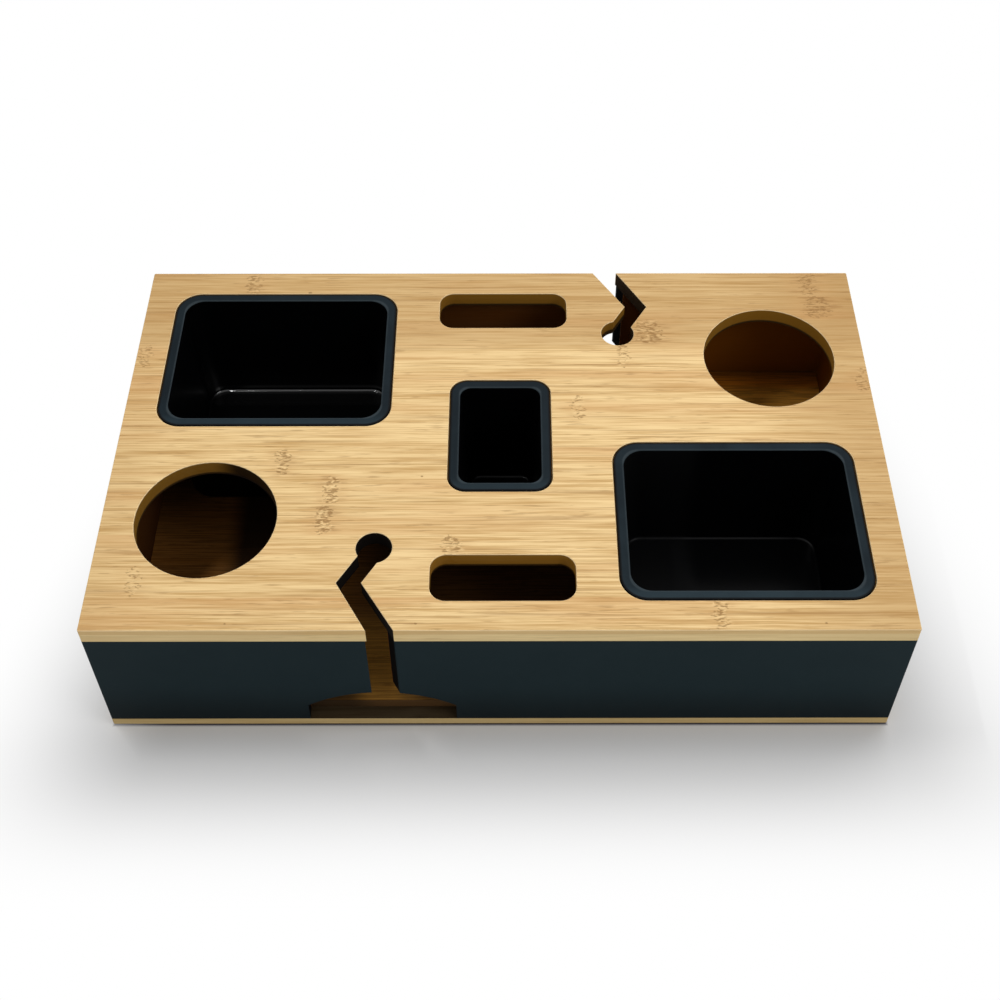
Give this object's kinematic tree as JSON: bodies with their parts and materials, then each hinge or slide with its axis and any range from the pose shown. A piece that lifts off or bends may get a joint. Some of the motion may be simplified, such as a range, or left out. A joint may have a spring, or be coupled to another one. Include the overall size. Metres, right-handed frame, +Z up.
{
  "type": "sofa arm tray",
  "caption": "Shallow wooden sofa arm tray with round cup holes, phone slots, bent cable slots that run down the long walls, and lift-out plastic tubs.",
  "frame": {"origin": "middle of the footprint, at the underside of the pads", "axes": "+X along the long side to the right, +Y to the back, +Z up"},
  "size_m": [0.42, 0.252, 0.0957],
  "materials": {
    "bamboo_board": "clear satin lacquer over bamboo strips",
    "painted_board": "satin blue-black paint outside, bare inside",
    "black_plastic": "matte rim, gloss inside",
    "dowel_wood": "raw",
    "screw_steel": "zinc plated",
    "pad_rubber": "matte"
  },
  "bodies": {
    "case": {"top_panel": "bamboo_board", "bottom_panel": "bamboo_board", "floor_board": "bamboo_board", "front_left_wall": "painted_board", "front_right_wall": "painted_board", "back_left_wall": "painted_board", "back_right_wall": "painted_board", "left_end_wall": "painted_board", "right_end_wall": "painted_board", "top_dowels": "dowel_wood", "bottom_screws": "screw_steel", "front_left_pad": "pad_rubber", "front_right_pad": "pad_rubber", "back_left_pad": "pad_rubber", "back_right_pad": "pad_rubber"},
    "back_left_tub": {"back_left_tub": "black_plastic"},
    "front_right_tub": {"front_right_tub": "black_plastic"},
    "centre_tub": {"centre_tub": "black_plastic"}
  },
  "joints": [
    {"name": "back_left_tub_lift", "type": "slide", "parent": "case", "child": "back_left_tub", "axis": [0, 0, 1], "range_m": [0, 0.1]},
    {"name": "front_right_tub_lift", "type": "slide", "parent": "case", "child": "front_right_tub", "axis": [0, 0, 1], "range_m": [0, 0.1]},
    {"name": "centre_tub_lift", "type": "slide", "parent": "case", "child": "centre_tub", "axis": [0, 0, 1], "range_m": [0, 0.1]}
  ]
}
